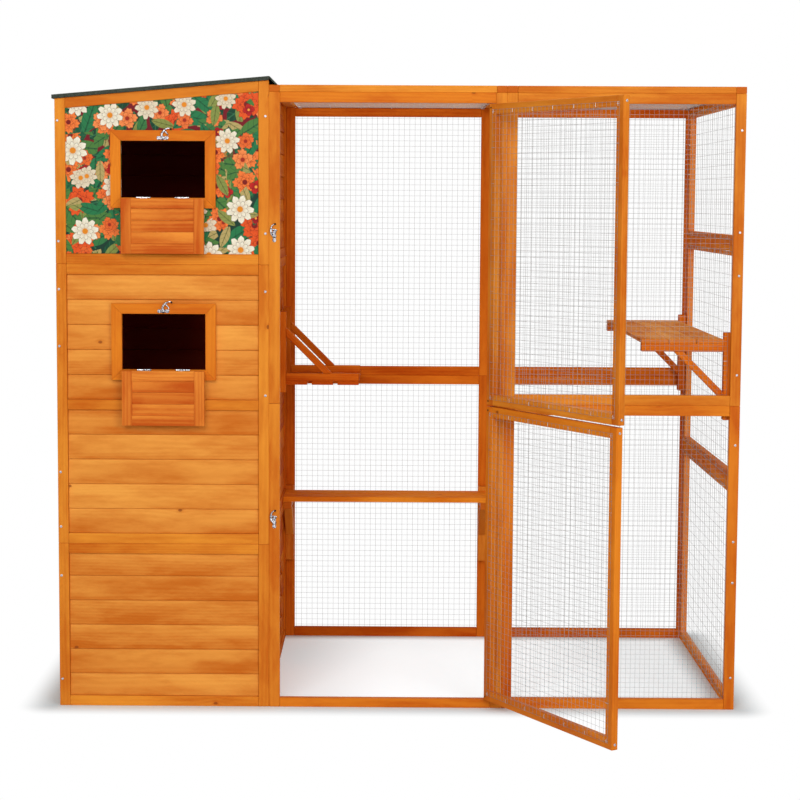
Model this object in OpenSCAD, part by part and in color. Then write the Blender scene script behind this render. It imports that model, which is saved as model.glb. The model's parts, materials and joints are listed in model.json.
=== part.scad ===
// Cat enclosure: a three-storey sleeping tower with a walk-in wire run beside it.
// Lengths are in millimetres. The layout is drawn from the tower's front left floor
// corner and then centred, so the origin is on the floor under the middle of the whole.

/* [Layout] */
// Width of the sleeping tower
tower_w = 617; // [560:1:680]
// Clear width of the doorway into the run
doorway_w = 621; // [580:1:680]
// Width of the fixed front bay to the right of the doorway
bay_w = 686; // [640:1:740]
// Depth of the enclosure, front face to back face
depth = 960; // [900:1:1020]
// Height of the side wall's bottom panel
side_low_h = 670; // [620:1:720]
// Height of the side wall's middle panel
side_middle_h = 694; // [640:1:740]

/* [Tower] */
// Height of the lower module
lower_h = 485; // [440:1:520]
// Height of the middle module
middle_h = 818; // [780:1:840]
// Height of the upper module at the ridge, right side
upper_h = 530; // [505:1:560]
// Fall of the roof from the ridge to the eaves, left side
roof_fall = 55; // [30:1:70]
// Rise of the tower's ridge over the run's walls
ridge_rise = 33; // [26:1:42]
// Thickness of the floor boards in the tower
floor_t = 9; // [6:1:14]
// Height of each floor's underside above its module's base
floor_rise = 12; // [4:1:16]

/* [Timber] */
// Width of the framing members
member_w = 30; // [26:1:34]
// Thickness of the framing members
member_t = 20; // [18:1:24]
// Width of the two posts that carry the doors
post_w = 32; // [28:1:36]
// Height of the sill under the doorway
sill_h = 27; // [20:1:30]
// Gap left at each butt joint
seam = 0.2; // [0.1:0.05:0.4]

/* [Cladding] */
// Height of one lap board
board_h = 73; // [60:1:80]
// Recess of a lap board's thick lower edge behind the frame's face
lap_low = 4; // [3:0.5:5]
// Recess of a lap board's thin upper edge behind the frame's face
lap_high = 9; // [7:0.5:10]
// Depth of the lap board's flat back behind the frame's face
lap_back = 16; // [13:0.5:17]

/* [Windows] */
// Width of the window opening
window_w = 243; // [220:1:260]
// Height of the window opening
window_h = 163; // [140:1:170]
// Distance of the windows' centre line from the tower's left side
window_x = 312; // [300:1:320]
// Height of the upper window's sill above the upper module's base
upper_sill = 192; // [184:1:200]
// Height of the middle window's sill above the middle module's base
middle_sill = 512; // [500:1:520]
// Width of the trim round a window
trim_w = 30; // [24:1:34]
// How far the trim stands out from the frame's face
trim_out = 8; // [6:1:12]
// Clearance round a flap in its window
flap_gap = 2; // [1.5:0.25:3]
// Thickness of a flap
flap_t = 15; // [12:1:18]
// Thickness of the flap's panel boards
flap_panel_t = 8; // [5:1:10]

/* [Doors] */
// Clearance round a door in the doorway
door_gap = 3; // [2.5:0.25:4]
// Gap between the two doors
door_split = 5; // [3:0.5:8]
// Angle at which the upper door stands open
upper_door_open = 121.5; // [90:0.5:150]
// Angle at which the lower door stands open
lower_door_open = 121; // [90:0.5:150]

/* [Roof] */
// Thickness of the roof boarding
deck_t = 8; // [6:1:12]
// Thickness of the mineral felt
felt_t = 3; // [2:0.5:4]
// Overhang of the roof at the front, the back and the left
overhang = 4; // [2:1:8]
// Width of the felt's steep strip over the joint with the run
strip_w = 20; // [16:1:24]

/* [Wire mesh] */
// Width and thickness of a strand
strand = 2; // [1.5:0.25:3]
// Largest gap between strands
mesh_gap = 170; // [140:5:200]
// Overlap of the mesh on the frame that it is stapled to
mesh_lap = 14; // [8:1:18]

/* [Side passages] */
// Width of the cat's passage from the tower into the run
passage_w = 240; // [220:1:250]
// Height of the passage
passage_h = 260; // [240:1:270]
// Distance of the passage from the front face
passage_y = 535; // [530:1:540]
// Height of the passage's sill above the module's base
passage_sill = 45; // [40:1:50]
// Width of the hole in the upper floor
hatch_w = 240; // [200:1:280]
// Length of the hole in the upper floor
hatch_l = 260; // [220:1:300]

/* [Shelves] */
// Thickness of the planks
plank_t = 12; // [10:1:16]
// Thickness of the back shelf's planks
back_plank_t = 17; // [10:1:18]
// Length of a bracket's post
bracket_post = 256; // [240:1:270]
// Width of a bracket's members in its own plane
bracket_w = 24; // [20:1:28]
// Thickness of a bracket across its plane
bracket_t = 28; // [22:1:30]
// Distance from a bracket's post end to its plank
bracket_end = 32; // [26:1:36]
// Length of the hanging shelf's arms past the post
arm_long = 230; // [215:1:245]
// Length of the back shelf's arms past the post
arm_short = 155; // [140:1:170]
// Length of the side shelf's arms past the post
arm_side = 241; // [230:1:250]
// Foot of a long bracket's brace along the arm and the post
brace_long = 145; // [130:1:160]
// Width of a shelf bracket's brace
brace_w = 19.5; // [16:0.5:24]
// Foot of a short bracket's brace along the arm and the post
brace_short = 112; // [100:1:120]
// Distance from a hanging bracket's post end to its plank
hanging_end = 37; // [26:1:40]
// Rise of the hanging shelf's planks over the walls' middle joint
hanging_rise = 9; // [0:1:30]
// Drop of the back shelf's planks below the walls' middle joint
back_drop = 408; // [360:1:440]
// Rise of the side shelf's planks over the walls' middle joint
side_rise = 180; // [160:1:200]
// Distance of the hanging shelf's front bracket from the front face
hanging_y = 486; // [470:1:500]
// Distance of the hanging shelf's rear bracket from the front face
hanging_rear_y = 782; // [778:1:810]
// Gap between the hanging shelf's planks
hanging_gap = 14; // [8:1:18]
// Gap between the back shelf's planks
back_gap = 8; // [4:1:12]
// Gap between the side shelf's planks
side_gap = 2; // [1:1:8]

/* [Ironwork] */
// Radius of a hinge's knuckle
knuckle_r = 3; // [2.5:0.25:3.5]
// Radius of a hinge's pin
pin_r = 1.2; // [1:0.1:1.5]
// Thickness of a hinge leaf
leaf_t = 1.1; // [0.8:0.1:1.2]
// Length of a door hinge
door_hinge_l = 64; // [50:1:80]
// Length of a flap hinge
flap_hinge_l = 41; // [36:1:46]
// Distance of a door hinge's centre from the door's end
hinge_inset = 110; // [90:1:140]
// Distance from a flap's centre line to its hinges' centres
flap_hinge_x = 56; // [50:1:70]
// Reach of a hook latch from its pivot to its keeper stud
hook_reach = 30; // [28:1:32]
// Angle by which the windows' hooks lean to the right when open
hook_lean = 40; // [0:5:60]
// Half the distance between a latch plate's screws
plate_half = 11; // [10:0.5:13]
// Height of the windows' latches above the opening
latch_rise = 8; // [7:0.5:10]
// Height of the upper door's latch above the door's lower edge
upper_latch_rise = 483.5; // [440:0.5:520]
// Height of the lower door's latch above the door's lower edge
lower_latch_rise = 520; // [480:1:550]
// Thickness of a hook
hook_t = 2; // [1.5:0.25:2.5]
// Radius of a screw head
screw_r = 3.5; // [3:0.25:4]
// Height of a screw head
screw_h = 1.2; // [0.8:0.1:1.6]

/* [Hidden] */
$fn = 32;
pine = "#d9822b";
pine_dark = "#b5651d";
print_ground = "#2f6b4f";
felt_black = "#3a3f38";
steel = "#b9bdc0";
chrome = "#dfe3e6";
ply = "#c99a5b";
upper_z = lower_h + middle_h;
ridge_z = upper_z + upper_h;
eave_z = ridge_z - roof_fall;
wall_h = ridge_z - ridge_rise;
run_x = tower_w;
door_x = run_x + post_w;
hinge_x = door_x + doorway_w;
bay_x = hinge_x + post_w;
total_w = bay_x + bay_w;
back_left_w = bay_x - run_x;
side_d = depth - 2 * member_t;
mid_z = wall_h / 2;
hanging_z = mid_z + hanging_rise;
back_z = mid_z - back_drop;
side_z = mid_z + side_rise;
side_seam_low = side_low_h;
side_seam_high = side_low_h + side_middle_h;
middle_rail_z = (middle_h - member_w) / 2;
slope = (ridge_z - eave_z) / tower_w;
window_left = window_x - window_w / 2;
upper_window_z = upper_z + upper_sill;
middle_window_z = lower_h + middle_sill;
flap_w = window_w - 2 * flap_gap;
flap_h = window_h - 2 * flap_gap;
flap_m = 29;
door_w = doorway_w - 2 * door_gap;
upper_door_z = mid_z + door_split / 2;
upper_door_h = wall_h - member_w - door_gap - upper_door_z;
lower_door_z = sill_h + door_gap;
lower_door_h = mid_z - door_split / 2 - lower_door_z;
pivot_x = hinge_x - door_gap / 2;
pivot_y = -(knuckle_r + 0.2);
flap_pivot_y = -trim_out - knuckle_r - 0.2;
latch_x = door_x - post_w / 2;
latch_upper_z = upper_door_z + upper_latch_rise;
latch_lower_z = lower_door_z + lower_latch_rise;
upper_latch_z = upper_window_z + window_h + latch_rise;
middle_latch_z = middle_window_z + window_h + latch_rise;
floor_inset = member_t + 0.3;
roof_h = deck_t + felt_t;
reach_front = max(door_reach(upper_door_open), door_reach(lower_door_open));
centre_x = (total_w - overhang - felt_t) / 2;
centre_y = (depth + overhang + felt_t - reach_front) / 2;

// Height of the tower's wall under the roof at a distance from its left side
function roof_z(x) = eave_z + slope * x;

// How far a door reaches out before the front at an opening angle
function door_reach(open) =
  (door_w + door_gap / 2) * sin(open) - (member_t - pivot_y) * cos(open) - pivot_y;

// Moves a drawing made from the tower's corner to the centred frame
module centred() { translate([-centre_x, -centre_y, 0]) children(); }

// Four sides of a wall: each takes a panel drawn with its outer face at y = 0
module on_front(x, z) { centred() translate([x, 0, z]) children(); }
module on_back(x, z) { centred() translate([x, depth, z]) rotate([0, 0, 180]) children(); }
module on_left(z) { centred() translate([0, depth - member_t, z]) rotate([0, 0, -90]) children(); }
module on_right(x, z) { centred() translate([x, member_t, z]) rotate([0, 0, 90]) children(); }

// A butt-jointed frame: two full-height stiles with rails between them
module frame(w, h, rails = [], m = member_w, t = member_t) {
  for (x = [0, w - m]) translate([x, 0, 0]) cube([m, t, h]);
  for (z = concat([0, h - m], rails))
    translate([m + seam, 0, z]) cube([w - 2 * m - 2 * seam, t, m]);
}

// Cross-section of a lap board, thick at its lower edge
module lap_profile(h) {
  polygon([[lap_low, 0], [lap_back, 0], [lap_back, h], [lap_high, h]]);
}

// A field of lap boards between two stiles, from z0 to z1
module lap_boards(w, z0, z1) {
  n = round((z1 - z0) / board_h);
  edge = (z1 - z0 - (n - 2) * board_h) / 2;
  for (i = [0 : n - 1]) {
    h = (i == 0 || i == n - 1) ? edge : board_h;
    z = z0 + (i == 0 ? 0 : edge + (i - 1) * board_h);
    translate([member_w + seam, 0, z + seam / 2])
      rotate([90, 0, 90]) linear_extrude(w - 2 * member_w - 2 * seam) lap_profile(h - seam);
  }
}

// A frame filled with lap boards
module clad_panel(w, h, rails = []) {
  color(pine) frame(w, h, rails);
  color(pine_dark) clad_field(w, h, rails);
}

module clad_field(w, h, rails = []) {
  levels = concat([0], rails, [h - member_w]);
  for (i = [0 : len(levels) - 2]) lap_boards(w, levels[i] + member_w, levels[i + 1]);
}

// The sloping outline under the roof, between two heights
module gable_outline(w, a, b, h0 = 0) {
  rotate([90, 0, 0]) translate([0, 0, -depth])
    linear_extrude(2 * depth) polygon([[0, h0], [w, h0], [w, b], [0, a]]);
}

// A frame whose top rail and stiles follow the roof's slope
module gable_frame(w, a, b) {
  rise = (b - a) / w;
  intersection() {
    for (x = [0, w - member_w]) translate([x, 0, 0]) cube([member_w, member_t, max(a, b)]);
    gable_outline(w, a, b);
  }
  translate([member_w + seam, 0, 0]) cube([w - 2 * member_w - 2 * seam, member_t, member_w]);
  translate([0, member_t, 0]) rotate([90, 0, 0]) linear_extrude(member_t)
    polygon([for (p = [[member_w + seam, -member_w], [w - member_w - seam, -member_w],
                       [w - member_w - seam, 0], [member_w + seam, 0]])
             [p[0], a + rise * p[0] + p[1]]]);
}

// Everything under the gable's top rail
module under_gable(w, a, b) {
  intersection() {
    children();
    gable_outline(w, a - member_w - seam, b - member_w - seam);
  }
}

// Box through a wall for a window, in the tower's own coordinates
module window_cut(z) {
  translate([window_left, -member_t, z]) cube([window_w, 3 * member_t, window_h]);
}

// Box through a right-hand panel for the cat's passage, in the panel's own coordinates
module passage_cut() {
  translate([passage_y - member_t, -member_t, passage_sill]) cube([passage_w, 3 * member_t, passage_h]);
}

// A flat wire grid over a frame's opening, behind or before its face
module mesh_sheet(w, h, m = member_w) {
  sw = w - 2 * m + 2 * mesh_lap;
  sh = h - 2 * m + 2 * mesh_lap;
  nx = ceil(sw / mesh_gap);
  nz = ceil(sh / mesh_gap);
  px = (sw - strand) / nx;
  pz = (sh - strand) / nz;
  translate([m - mesh_lap, 0, m - mesh_lap]) rotate([90, 0, 0]) translate([0, 0, -strand])
    linear_extrude(strand) difference() {
      square([sw, sh]);
      for (i = [0 : nx - 1], j = [0 : nz - 1])
        translate([strand + i * px, strand + j * pz]) square([px - strand, pz - strand]);
    }
}

// A shelf bracket in its own plane: post up the wall, arm outward, brace at 45 degrees
module bracket(arm, brace, end = bracket_end) {
  arm_z = bracket_post - end - bracket_w;
  cube([bracket_w, bracket_t, bracket_post]);
  translate([bracket_w + seam, 0, arm_z]) cube([arm - seam, bracket_t, bracket_w]);
  low = brace_w * sqrt(2);
  translate([bracket_w, bracket_t, arm_z - seam]) rotate([90, 0, 0]) linear_extrude(bracket_t)
    polygon([[seam, -brace], [brace, -seam], [brace - low, -seam], [seam, -brace + low]]);
}

// Planks side by side across a shelf
module planks(n, across, gap, length, t = plank_t) {
  w = (across - (n - 1) * gap) / n;
  for (i = [0 : n - 1]) translate([i * (w + gap), 0, 0]) cube([w, length, t]);
}

// One knuckle of a hinge on the z axis
module knuckle(z0, z1) {
  translate([0, 0, z0]) difference() {
    cylinder(r = knuckle_r, h = z1 - z0);
    translate([0, 0, -1]) cylinder(r = pin_r + 0.1, h = z1 - z0 + 2);
  }
}

// The fixed half of a hinge: end knuckles, leaf and pin, centred on its length
module fixed_leaf(l, leaf_l, back) {
  k = l / 5;
  difference() {
    union() {
      for (z = [-l / 2, l / 2 - k]) translate([0, 0, z]) cylinder(r = knuckle_r, h = k);
      for (z = [-l / 2, l / 2 - k])
        translate([back - leaf_t, 0, z]) cube([leaf_t, knuckle_r + 0.4, k]);
      translate([back - leaf_t, knuckle_r + 0.4, -l / 2]) cube([leaf_t, leaf_l - knuckle_r - 0.4, l]);
    }
    translate([0, 0, -l]) cylinder(r = pin_r + 0.1, h = 2 * l);
  }
  translate([0, 0, -l / 2]) cylinder(r = pin_r, h = l);
}

// The moving half of a hinge: middle knuckle and leaf
module moving_leaf(l, leaf_l, back) {
  k = l / 5;
  gap = 0.2;
  difference() {
    union() {
      translate([0, 0, -l / 2 + k + gap]) cylinder(r = knuckle_r, h = l - 2 * k - 2 * gap);
      translate([-back, 0, -l / 2 + k + gap]) cube([leaf_t, knuckle_r + 0.4, l - 2 * k - 2 * gap]);
      translate([-back, knuckle_r + 0.4, -l / 2]) cube([leaf_t, leaf_l - knuckle_r - 0.4, l]);
    }
    translate([0, 0, -l]) cylinder(r = pin_r + 0.1, h = 2 * l);
  }
}

// A domed screw head on a face whose outside is at y = 0
module screw_head() {
  rotate([90, 0, 0]) cylinder(r1 = screw_r, r2 = screw_r * 0.7, h = screw_h);
}

// The base plate of a hook latch, with its pivot boss, on the face at y = 0
module latch_plate() {
  plate_t = 1.6;
  rotate([90, 0, 0]) {
    linear_extrude(plate_t) {
      square([2 * plate_half, 12], center = true);
      for (x = [-plate_half, plate_half]) translate([x, 0]) circle(r = 6);
    }
    cylinder(r = 4.5, h = plate_t + 1);
    cylinder(r = 2, h = plate_t + 1 + hook_t + 0.6);
    for (x = [-plate_half, plate_half]) translate([x, 0, plate_t]) cylinder(r1 = 3.2, r2 = 2.2, h = 1);
  }
}

// The hook of a latch, standing up from its pivot, open to the right
module latch_hook() {
  rotate([90, 0, 0]) translate([0, 0, 2.8]) linear_extrude(hook_t) difference() {
    union() {
      circle(r = 6);
      polygon([[-5.8, 0], [5.2, 0], [-1, hook_reach - 6], [-7.5, hook_reach - 2]]);
      translate([0, hook_reach]) circle(r = 7.5);
      translate([5, hook_reach + 5]) circle(r = 3.6);
    }
    circle(r = 2.2);
    translate([0, hook_reach]) circle(r = 3.2);
    translate([0, hook_reach - 3.2]) square([12, 6.4]);
  }
}

// The stud that a hook drops over, on the face at y = 0
module keeper() {
  rotate([90, 0, 0]) {
    cylinder(r = 5, h = 1.2);
    cylinder(r = 2, h = 6);
  }
}

// Swings what is drawn closed to a door's rest position
module door_at_rest(open) {
  centred() translate([pivot_x, pivot_y, 0]) rotate([0, 0, open])
    translate([-pivot_x, -pivot_y, 0]) children();
}

// Swings what is drawn closed to a flap's rest position, folded down
module flap_at_rest(z) {
  centred() translate([0, flap_pivot_y, z]) rotate([180, 0, 0])
    translate([0, -flap_pivot_y, -z]) children();
}

module door_frame(z, h) { translate([door_x + door_gap, 0, z]) frame(door_w, h); }
module door_mesh(z, h) { translate([door_x + door_gap, member_t, z]) mesh_sheet(door_w, h); }

// Hinge leaves, keeper stud and edge screws that move with a door
module door_hardware(z, h, stud_z) {
  for (c = [z + hinge_inset, z + h - hinge_inset])
    translate([pivot_x, pivot_y, c]) moving_leaf(door_hinge_l, member_t - 2 - pivot_y, door_gap / 2);
  translate([latch_x + hook_reach, 0, stud_z]) keeper();
  for (c = [z + member_w / 2, z + h - member_w / 2])
    translate([door_x + door_gap, member_t / 2, c]) rotate([0, 0, -90]) screw_head();
}

// A flap drawn closed in its window: frame and recessed panel boards
module flap(z) {
  n = 3;
  inner_w = flap_w - 2 * flap_m - 2 * seam;
  inner_h = (flap_h - 2 * flap_m) / n;
  translate([window_left + flap_gap, -trim_out, z + flap_gap]) {
    frame(flap_w, flap_h, m = flap_m, t = flap_t);
    for (i = [0 : n - 1])
      translate([flap_m + seam, (flap_t - flap_panel_t) / 2, flap_m + i * inner_h + seam])
        cube([inner_w, flap_panel_t, inner_h - 2 * seam]);
  }
}

// Turns a hinge drawn on the z axis so that its pin lies along x
module along_x() { rotate([90, 0, 0]) rotate([0, 90, 0]) children(); }

// Surface hinge of a flap: both leaves lie on the outer faces
module flap_hinge_half(moving) {
  arm = 12;
  side = moving ? 1 : -1;
  k = flap_hinge_l / 5;
  back = knuckle_r + 0.2;
  len = moving ? flap_hinge_l - 2 * k - 0.4 : k;
  starts = moving ? [-len / 2] : [-flap_hinge_l / 2, flap_hinge_l / 2 - k];
  difference() {
    union() {
      for (x = starts) translate([x, 0, 0]) {
        rotate([0, 90, 0]) cylinder(r = knuckle_r, h = len);
        translate([0, back - leaf_t, side > 0 ? 0 : -arm]) cube([len, leaf_t, arm]);
      }
      translate([-flap_hinge_l / 2, back - leaf_t, side > 0 ? knuckle_r + 0.4 : -arm])
        cube([flap_hinge_l, leaf_t, arm - knuckle_r - 0.4]);
    }
    translate([-flap_hinge_l, 0, 0]) rotate([0, 90, 0]) cylinder(r = pin_r + 0.1, h = 2 * flap_hinge_l);
  }
  if (!moving) translate([-flap_hinge_l / 2, 0, 0]) rotate([0, 90, 0]) cylinder(r = pin_r, h = flap_hinge_l);
}

module flap_hinges(z, moving) {
  for (s = [-1, 1]) translate([window_x + s * flap_hinge_x, flap_pivot_y, z]) flap_hinge_half(moving);
}

module flap_hardware(z) {
  flap_hinges(z, true);
  translate([window_x, -trim_out, z + window_h + latch_rise - hook_reach]) keeper();
}

// Four trim strips round a window, mitred at the corners
module window_trim(z) {
  wide = window_w + 2 * trim_w;
  high = window_h + 2 * trim_w;
  translate([window_x, lap_low, z + window_h / 2]) rotate([90, 0, 0]) for (i = [0 : 3]) {
    l = i % 2 == 0 ? wide : high;
    d = i % 2 == 0 ? high : wide;
    rotate(90 * i) translate([-l / 2, -d / 2, 0]) linear_extrude(trim_out + lap_low)
      polygon([[seam, 0], [l - seam, 0], [l - trim_w - seam, trim_w], [trim_w + seam, trim_w]]);
  }
}

module lower_front_frame() { color(pine) on_front(0, 0) frame(tower_w, lower_h); }
module lower_front_boards() { color(pine_dark) on_front(0, 0) clad_field(tower_w, lower_h); }
module lower_left_panel() { on_left(0) clad_panel(side_d, lower_h); }
module lower_right_panel() {
  on_right(tower_w, 0) difference() { clad_panel(side_d, lower_h); passage_cut(); }
}
module lower_back_panel() { on_back(tower_w, 0) clad_panel(tower_w, lower_h); }

module middle_front_frame() { color(pine) on_front(0, lower_h) frame(tower_w, middle_h, [middle_rail_z]); }
module middle_front_boards() {
  color(pine_dark) centred() difference() {
    translate([0, 0, lower_h]) clad_field(tower_w, middle_h, [middle_rail_z]);
    window_cut(middle_window_z);
  }
}
module middle_left_panel() { on_left(lower_h) clad_panel(side_d, middle_h, [middle_rail_z]); }
module middle_right_panel() {
  on_right(tower_w, lower_h) difference() {
    clad_panel(side_d, middle_h, [middle_rail_z]);
    translate([0, 0, middle_rail_z + member_w - passage_sill + 20]) passage_cut();
  }
}
module middle_back_panel() { on_back(tower_w, lower_h) clad_panel(tower_w, middle_h, [middle_rail_z]); }

module upper_front_frame() {
  color(pine) on_front(0, upper_z) gable_frame(tower_w, eave_z - upper_z, ridge_z - upper_z);
}
module print_board() {
  color(print_ground) centred() difference() {
    translate([0, 0, upper_z]) under_gable(tower_w, eave_z - upper_z, ridge_z - upper_z)
      translate([member_w + seam, lap_low, member_w + seam])
        cube([tower_w - 2 * member_w - 2 * seam, lap_back - 2 * lap_low, ridge_z - upper_z]);
    window_cut(upper_window_z);
  }
}
module upper_left_panel() { on_left(upper_z) clad_panel(side_d, eave_z - upper_z); }
module upper_right_panel() { on_right(tower_w, upper_z) clad_panel(side_d, roof_z(tower_w - member_t) - upper_z); }
module upper_back_panel() {
  a = ridge_z - upper_z;
  b = eave_z - upper_z;
  on_back(tower_w, upper_z) {
    color(pine) gable_frame(tower_w, a, b);
    color(pine_dark) under_gable(tower_w, a, b) lap_boards(tower_w, member_w, a - member_w);
  }
}

// Three floors; the upper one has a hatch over the middle room
module tower_floors() {
  w = tower_w - 2 * floor_inset;
  l = depth - 2 * floor_inset;
  color(ply) centred() {
    for (z = [0, lower_h]) translate([floor_inset, floor_inset, z + floor_rise]) cube([w, l, floor_t]);
    translate([floor_inset, floor_inset, upper_z + floor_rise]) difference() {
      cube([w, l, floor_t]);
      translate([w - hatch_w - 60, l - hatch_l - 60, -1]) cube([hatch_w, hatch_l, floor_t + 2]);
    }
  }
}

// Side view of the roof between its underside and a height above it
module roof_outline(x0, x1, low, high) {
  polygon([[x0, roof_z(x0) + low], [x1, roof_z(x1) + low], [x1, roof_z(x1) + high], [x0, roof_z(x0) + high]]);
}
module across_depth(y0, y1) {
  translate([0, y1, 0]) rotate([90, 0, 0]) linear_extrude(y1 - y0) children();
}
module roof_deck() {
  color(ply) centred() across_depth(-overhang, depth + overhang)
    roof_outline(-overhang, tower_w, 0.3, deck_t);
}
module roof_felt() {
  top = roof_z(tower_w) + roof_h;
  foot = wall_h + member_t + 0.3;
  color(felt_black) centred() difference() {
    union() {
      across_depth(-overhang - felt_t, depth + overhang + felt_t) {
        roof_outline(-overhang - felt_t, tower_w, 0, roof_h);
        polygon([[tower_w, top - felt_t - 2], [tower_w, top], [tower_w + felt_t, top - 1],
                 [tower_w + strip_w + felt_t, foot], [tower_w + strip_w - 1, foot]]);
      }
    }
    across_depth(-overhang - 0.2, depth + overhang + 0.2)
      roof_outline(-overhang - 0.2, tower_w + 0.1, -5, deck_t + 0.2);
    across_depth(0, depth) roof_outline(0, tower_w + 0.1, -5, 1);
  }
}

module window_trims() {
  color(pine) centred() {
    window_trim(upper_window_z);
    window_trim(middle_window_z);
  }
}
module upper_flap() { color(pine_dark) flap_at_rest(upper_window_z) flap(upper_window_z); }
module middle_flap() { color(pine_dark) flap_at_rest(middle_window_z) flap(middle_window_z); }
module upper_flap_hardware() { color(chrome) flap_at_rest(upper_window_z) flap_hardware(upper_window_z); }
module middle_flap_hardware() { color(chrome) flap_at_rest(middle_window_z) flap_hardware(middle_window_z); }

// A post in two lengths, jointed between the doors
module post(x) {
  color(pine) {
    on_front(x, 0) cube([post_w, member_t, mid_z - seam]);
    on_front(x, mid_z) cube([post_w, member_t, wall_h - mid_z]);
  }
}
module latch_post() { post(run_x); }
module hinge_post() { post(hinge_x); }
module doorway_rails() {
  color(pine) {
    on_front(door_x, wall_h - member_w) cube([doorway_w, member_t, member_w]);
    on_front(door_x, 0) cube([doorway_w, member_t, sill_h]);
  }
}
module front_upper_frame() { color(pine) on_front(bay_x, mid_z) frame(bay_w, wall_h - mid_z); }
module front_lower_frame() { color(pine) on_front(bay_x, 0) frame(bay_w, mid_z); }
module front_mesh() {
  color(steel) for (z = [0, mid_z]) on_front(bay_x, z)
    translate([0, member_t, 0]) mesh_sheet(bay_w - member_t, mid_z, member_w);
}

module back_frame(x, w, z) { color(pine) on_back(x + w, z) frame(w, mid_z); }
module back_left_upper_frame() { back_frame(run_x, back_left_w, mid_z); }
module back_left_lower_frame() { back_frame(run_x, back_left_w, 0); }
module back_right_upper_frame() { back_frame(bay_x, bay_w, mid_z); }
module back_right_lower_frame() { back_frame(bay_x, bay_w, 0); }
module back_mesh() {
  color(steel) for (w = [[run_x, back_left_w], [bay_x, bay_w]], z = [0, mid_z])
    on_back(w[0] + w[1], z) translate([0, -strand, 0]) mesh_sheet(w[1], mid_z);
}

module side_frame(z0, z1) { color(pine) on_right(total_w, z0) frame(side_d, z1 - z0); }
module side_top_frame() { side_frame(side_seam_high, wall_h); }
module side_middle_frame() { side_frame(side_seam_low, side_seam_high); }
module side_bottom_frame() { side_frame(0, side_seam_low); }
module side_mesh() {
  levels = [0, side_seam_low, side_seam_high, wall_h];
  color(steel) for (i = [0 : 2]) on_right(total_w, levels[i])
    translate([0, member_t, 0]) mesh_sheet(side_d, levels[i + 1] - levels[i]);
}

// A roof frame lies flat on the walls: its stiles run from front to back
module flat_on_walls(x) {
  centred() translate([x, 0, wall_h + member_t]) rotate([-90, 0, 0]) children();
}
module roof_left_frame() {
  color(pine) flat_on_walls(run_x + seam) frame(bay_x - run_x - seam, depth, [depth / 2 - member_w / 2]);
}
module roof_right_frame() {
  color(pine) flat_on_walls(bay_x) frame(bay_w, depth, [depth / 2 - member_w / 2]);
}
module roof_mesh() {
  color(steel) {
    flat_on_walls(run_x + member_t) translate([0, member_t, 0])
      mesh_sheet(bay_x - run_x - member_t, depth, max(member_w, member_t + mesh_lap + 1));
    flat_on_walls(bay_x) translate([0, member_t, 0])
      mesh_sheet(bay_w, depth, max(member_w, member_t + mesh_lap + 1));
  }
}

// Shelf that hangs under its arms on the tower's wall
module hanging_shelf_brackets() {
  color(pine_dark) centred() for (y = [hanging_y, hanging_rear_y])
    translate([tower_w, y + bracket_t, hanging_z + plank_t - hanging_end + bracket_post])
      rotate([180, 0, 0]) bracket(arm_long, brace_long, hanging_end);
}
module hanging_shelf_planks() {
  color(pine) centred() translate([tower_w + bracket_w, hanging_y, hanging_z - seam])
    planks(3, arm_long, hanging_gap, depth - member_t - hanging_y - 1);
}

// Shelf on the back wall between the tower and the middle of the run
module back_shelf_brackets() {
  color(pine_dark) centred() for (x = [run_x, bay_x - member_w])
    translate([x + bracket_t, depth - member_t, back_z - bracket_post + bracket_end])
      rotate([0, 0, -90]) mirror([0, 1, 0]) bracket(arm_short, brace_short);
}
module back_shelf_planks() {
  color(pine) centred() translate([run_x + seam, depth - member_t - bracket_w - seam, back_z + seam])
    rotate([0, 0, -90]) planks(2, arm_short, back_gap, back_left_w - seam, back_plank_t);
}

// Shelf along the right-hand wall
module side_shelf_brackets() {
  color(pine_dark) centred() for (y = [member_t + strand + 1, depth - member_t - bracket_t - 1])
    translate([total_w - member_t - strand, y, side_z - bracket_post + bracket_end])
      mirror([1, 0, 0]) bracket(arm_side, brace_long);
}
module side_shelf_planks() {
  color(pine) centred()
    translate([total_w - member_t - strand - bracket_w - arm_side, member_t + strand + 1, side_z + seam])
      planks(3, arm_side - seam, side_gap, side_d - strand - 2);
}

module upper_door_frame() { color(pine) door_at_rest(upper_door_open) door_frame(upper_door_z, upper_door_h); }
module lower_door_frame() { color(pine) door_at_rest(lower_door_open) door_frame(lower_door_z, lower_door_h); }
module upper_door_mesh() { color(steel) door_at_rest(upper_door_open) door_mesh(upper_door_z, upper_door_h); }
module lower_door_mesh() { color(steel) door_at_rest(lower_door_open) door_mesh(lower_door_z, lower_door_h); }
module upper_door_hardware() {
  color(chrome) door_at_rest(upper_door_open) door_hardware(upper_door_z, upper_door_h, latch_upper_z);
}
module lower_door_hardware() {
  color(chrome) door_at_rest(lower_door_open) door_hardware(lower_door_z, lower_door_h, latch_lower_z);
}

// The hinge halves that stay on the posts and the window sills
module hinge_leaves() {
  color(chrome) centred() {
    for (d = [[upper_door_z, upper_door_h], [lower_door_z, lower_door_h]])
      for (c = [d[0] + hinge_inset, d[0] + d[1] - hinge_inset])
        translate([pivot_x, pivot_y, c]) fixed_leaf(door_hinge_l, member_t - 2 - pivot_y, door_gap / 2);
    for (z = [upper_window_z, middle_window_z]) flap_hinges(z, false);
  }
}

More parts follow.
